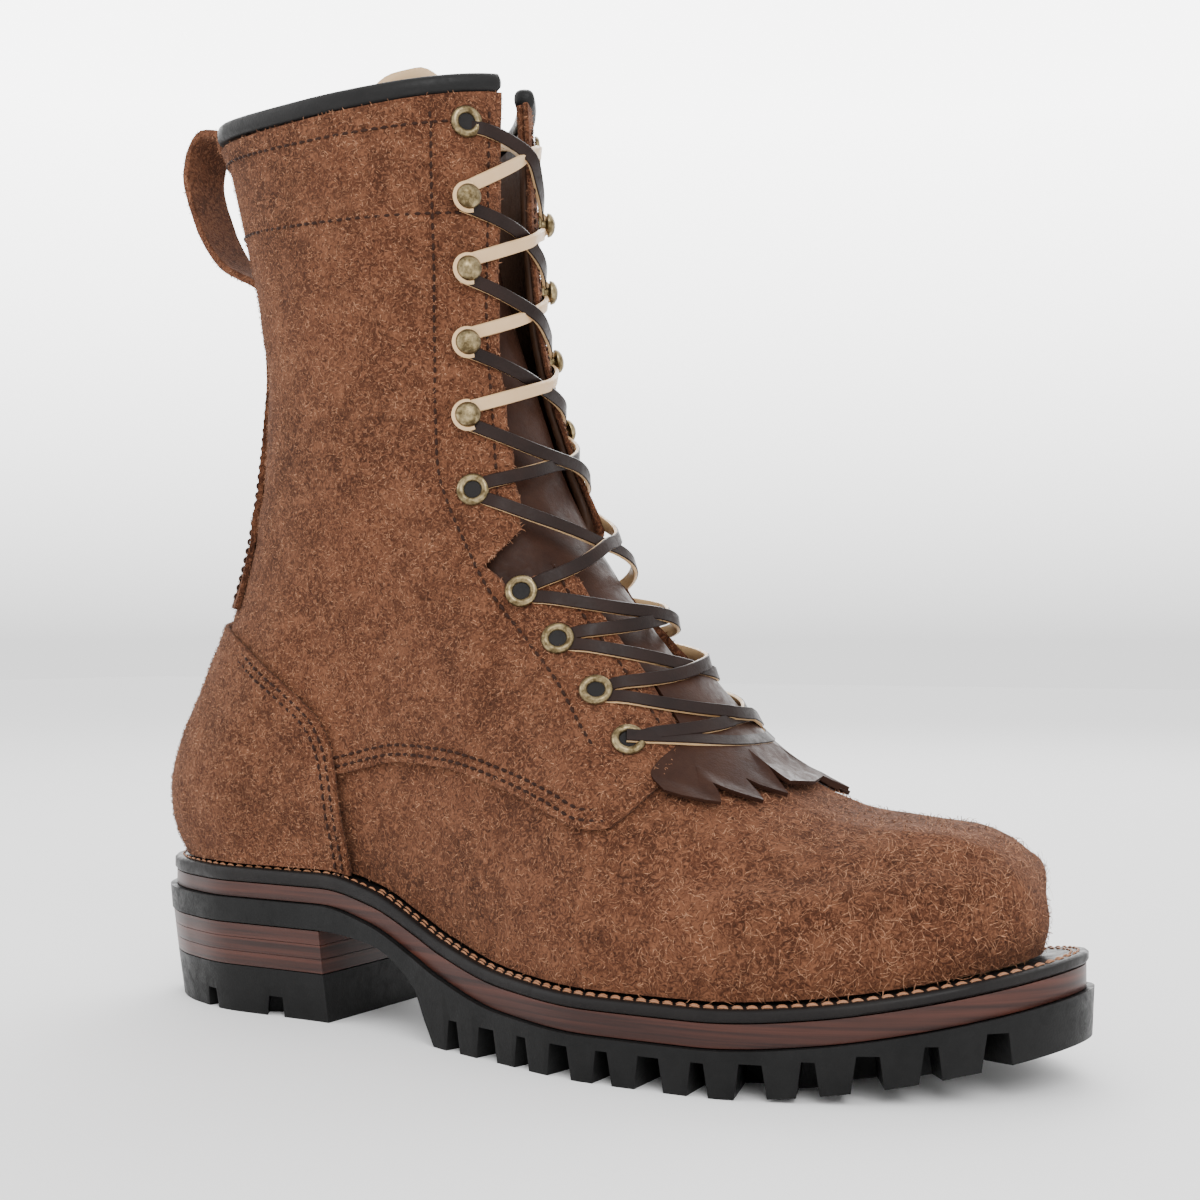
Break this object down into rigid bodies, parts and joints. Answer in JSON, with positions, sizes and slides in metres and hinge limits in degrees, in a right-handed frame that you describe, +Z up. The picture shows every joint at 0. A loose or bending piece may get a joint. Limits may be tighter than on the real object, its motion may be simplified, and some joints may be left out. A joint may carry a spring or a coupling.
{
  "type": "logger boot",
  "caption": "Right lace-up logger boot in rough suede with stacked heel, lugged rubber sole, welt, kiltie, eyelets and speed hooks.",
  "frame": {"origin": "centre of the bounding box in plan, on the floor that the sole stands on", "axes": "+X from heel to toe, +Z up, the outer side of the foot towards -Y"},
  "size_m": [0.312, 0.1138, 0.3176],
  "materials": {
    "suede": "rough-out suede",
    "rubber": "matt",
    "stacked_leather": "burnished mahogany",
    "edge_leather": "glossy black",
    "insole_leather": "natural",
    "smooth_leather": "satin dark brown",
    "brass": "antique",
    "lace_leather": "dark face, pale edges"
  },
  "bodies": {
    "root": {"backstay": "suede", "collar_binding": "edge_leather", "counter": "suede", "eyelet_lateral_01": "brass", "eyelet_lateral_02": "brass", "eyelet_lateral_03": "brass", "eyelet_lateral_04": "brass", "eyelet_lateral_05": "brass", "eyelet_lateral_10": "brass", "eyelet_medial_01": "brass", "eyelet_medial_02": "brass", "eyelet_medial_03": "brass", "eyelet_medial_04": "brass", "eyelet_medial_05": "brass", "eyelet_medial_10": "brass", "heel_stack": "stacked_leather", "hook_lateral_06": "brass", "hook_lateral_07": "brass", "hook_lateral_08": "brass", "hook_lateral_09": "brass", "hook_medial_06": "brass", "hook_medial_07": "brass", "hook_medial_08": "brass", "hook_medial_09": "brass", "insole": "insole_leather", "kiltie": "smooth_leather", "lace_crossing_1": "lace_leather", "lace_crossing_2": "lace_leather", "lace_crossing_3": "lace_leather", "lace_crossing_4": "lace_leather", "lace_crossing_5": "lace_leather", "lace_crossing_6": "lace_leather", "lace_crossing_7": "lace_leather", "lace_crossing_8": "lace_leather", "lace_crossing_9": "lace_leather", "lace_end": "lace_leather", "midsole": "stacked_leather", "outsole": "rubber", "pull_loop": "suede", "quarters": "suede", "tongue": "smooth_leather", "top_lift": "rubber", "upper": "suede", "welt": "edge_leather"}
  },
  "joints": []
}
